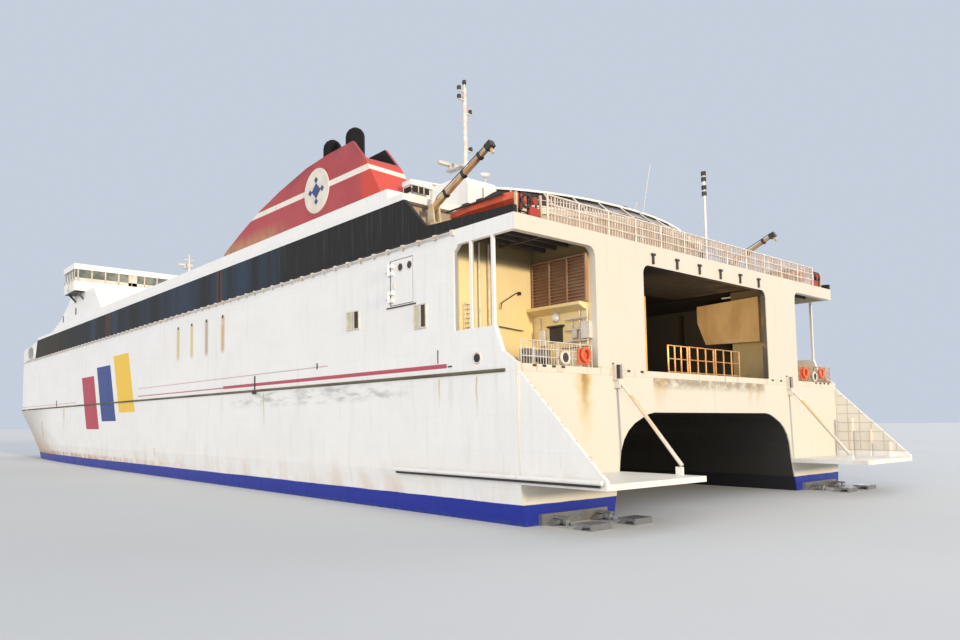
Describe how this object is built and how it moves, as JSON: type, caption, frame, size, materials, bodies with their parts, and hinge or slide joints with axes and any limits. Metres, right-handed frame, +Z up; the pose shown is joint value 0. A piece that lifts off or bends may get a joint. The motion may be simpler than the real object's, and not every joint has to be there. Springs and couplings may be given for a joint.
{
  "type": "passenger and vehicle ferry, catamaran, scale model at 1:10",
  "caption": "Twin-hulled high-speed passenger and vehicle ferry with an open stern, twin funnels, boat cranes and a raised bridge, as a 1:10 scale model.",
  "frame": {"origin": "amidships on the centreline, at the waterline", "axes": "+X to the bow, +Y to port, +Z up"},
  "size_m": [12.63, 4.0508, 4.36],
  "materials": {
    "band": "satin",
    "black": "satin",
    "cream": "satin",
    "deck": "satin",
    "glass": "gloss",
    "orange": "satin",
    "red": "satin",
    "steel": "satin",
    "tan": "satin",
    "white": "satin",
    "yellow": "satin"
  },
  "bodies": {
    "ship": {"bow_bulwark": "white", "bow_shell": "white", "bridge_body": "white", "bridge_roof": "white", "bridge_windows": "glass", "cross_structure": "white", "fore_house": "white", "fore_mast": "white", "lounge_eave": "white", "lounge_glazing": "glass", "lounge_roof": "white", "main_mast": "white", "port_bay_walls": "yellow", "port_exhausts": "black", "port_funnel": "red", "port_hull": "white", "port_jet_ducts": "steel", "port_louvres": "tan", "port_mooring_winch": "steel", "port_rescue_boat": "orange", "port_saloon_wall": "band", "port_side_shell": "white", "port_wing_platform": "white", "port_wing_stay": "cream", "saloon_aft_wall": "white", "saloon_roof": "white", "starboard_bay_walls": "yellow", "starboard_exhausts": "black", "starboard_funnel": "red", "starboard_hull": "white", "starboard_jet_ducts": "steel", "starboard_louvres": "tan", "starboard_mooring_winch": "steel", "starboard_rescue_boat": "orange", "starboard_saloon_wall": "band", "starboard_side_shell": "white", "starboard_wing_platform": "white", "starboard_wing_stay": "cream", "stern_frame": "cream", "stern_mast": "white", "upper_deck": "deck", "upper_house": "white", "vehicle_deck": "deck"},
    "stern_door": {"stern_door": "tan"},
    "main_scanner": {"main_scanner": "white"},
    "fore_scanner": {"fore_scanner": "white"},
    "port_side_door": {"port_side_door": "white"},
    "port_crane_column": {"port_crane_column": "tan"},
    "port_crane_boom": {"port_crane_boom": "tan"},
    "port_outer_nozzle": {"port_outer_nozzle": "steel"},
    "port_outer_bucket": {"port_outer_bucket": "steel"},
    "port_inner_nozzle": {"port_inner_nozzle": "steel"},
    "port_inner_bucket": {"port_inner_bucket": "steel"},
    "starboard_side_door": {"starboard_side_door": "white"},
    "starboard_crane_column": {"starboard_crane_column": "tan"},
    "starboard_crane_boom": {"starboard_crane_boom": "tan"},
    "starboard_outer_nozzle": {"starboard_outer_nozzle": "steel"},
    "starboard_outer_bucket": {"starboard_outer_bucket": "steel"},
    "starboard_inner_nozzle": {"starboard_inner_nozzle": "steel"},
    "starboard_inner_bucket": {"starboard_inner_bucket": "steel"}
  },
  "joints": [
    {"name": "stern_door_swing", "type": "hinge", "parent": "ship", "child": "stern_door", "pos_m": [-5.708, 0, 1.586], "axis": [0, 1, 0], "range_deg": [0, 90]},
    {"name": "main_scanner_spin", "type": "hinge", "parent": "ship", "child": "main_scanner", "pos_m": [-3.16, 0, 3.05], "axis": [0, 0, 1], "continuous": true},
    {"name": "fore_scanner_spin", "type": "hinge", "parent": "ship", "child": "fore_scanner", "pos_m": [2.935, 0.2, 3.1], "axis": [0, 0, 1], "continuous": true},
    {"name": "port_side_door_swing", "type": "hinge", "parent": "ship", "child": "port_side_door", "pos_m": [-4.7, 2.012, 1.4425], "axis": [0, 0, -1], "range_deg": [0, 100]},
    {"name": "port_crane_slew", "type": "hinge", "parent": "ship", "child": "port_crane_column", "pos_m": [-4.905, 1.79, 1.79], "axis": [0, 0, 1], "range_deg": [-80, 30]},
    {"name": "port_crane_luff", "type": "hinge", "parent": "port_crane_column", "child": "port_crane_boom", "pos_m": [-4.905, 1.79, 1.935], "axis": [0, 1, 0], "range_deg": [-15, 45]},
    {"name": "port_outer_nozzle_steer", "type": "hinge", "parent": "ship", "child": "port_outer_nozzle", "pos_m": [-5.882, 1.755, -0.06], "axis": [0, 0, 1], "range_deg": [-30, 30]},
    {"name": "port_outer_bucket_drop", "type": "hinge", "parent": "port_outer_nozzle", "child": "port_outer_bucket", "pos_m": [-5.992, 1.755, -0.06], "axis": [0, -1, 0], "range_deg": [0, 70]},
    {"name": "port_inner_nozzle_steer", "type": "hinge", "parent": "ship", "child": "port_inner_nozzle", "pos_m": [-5.882, 1.385, -0.06], "axis": [0, 0, 1], "range_deg": [-30, 30]},
    {"name": "port_inner_bucket_drop", "type": "hinge", "parent": "port_inner_nozzle", "child": "port_inner_bucket", "pos_m": [-5.992, 1.385, -0.06], "axis": [0, -1, 0], "range_deg": [0, 70]},
    {"name": "starboard_side_door_swing", "type": "hinge", "parent": "ship", "child": "starboard_side_door", "pos_m": [-4.7, -2.012, 1.4425], "axis": [0, 0, 1], "range_deg": [0, 100]},
    {"name": "starboard_crane_slew", "type": "hinge", "parent": "ship", "child": "starboard_crane_column", "pos_m": [-4.905, -1.79, 1.79], "axis": [0, 0, 1], "range_deg": [-30, 80]},
    {"name": "starboard_crane_luff", "type": "hinge", "parent": "starboard_crane_column", "child": "starboard_crane_boom", "pos_m": [-4.905, -1.79, 1.935], "axis": [0, 1, 0], "range_deg": [-15, 45]},
    {"name": "starboard_outer_nozzle_steer", "type": "hinge", "parent": "ship", "child": "starboard_outer_nozzle", "pos_m": [-5.882, -1.755, -0.06], "axis": [0, 0, 1], "range_deg": [-30, 30]},
    {"name": "starboard_outer_bucket_drop", "type": "hinge", "parent": "starboard_outer_nozzle", "child": "starboard_outer_bucket", "pos_m": [-5.992, -1.755, -0.06], "axis": [0, -1, 0], "range_deg": [0, 70]},
    {"name": "starboard_inner_nozzle_steer", "type": "hinge", "parent": "ship", "child": "starboard_inner_nozzle", "pos_m": [-5.882, -1.385, -0.06], "axis": [0, 0, 1], "range_deg": [-30, 30]},
    {"name": "starboard_inner_bucket_drop", "type": "hinge", "parent": "starboard_inner_nozzle", "child": "starboard_inner_bucket", "pos_m": [-5.992, -1.385, -0.06], "axis": [0, -1, 0], "range_deg": [0, 70]}
  ]
}
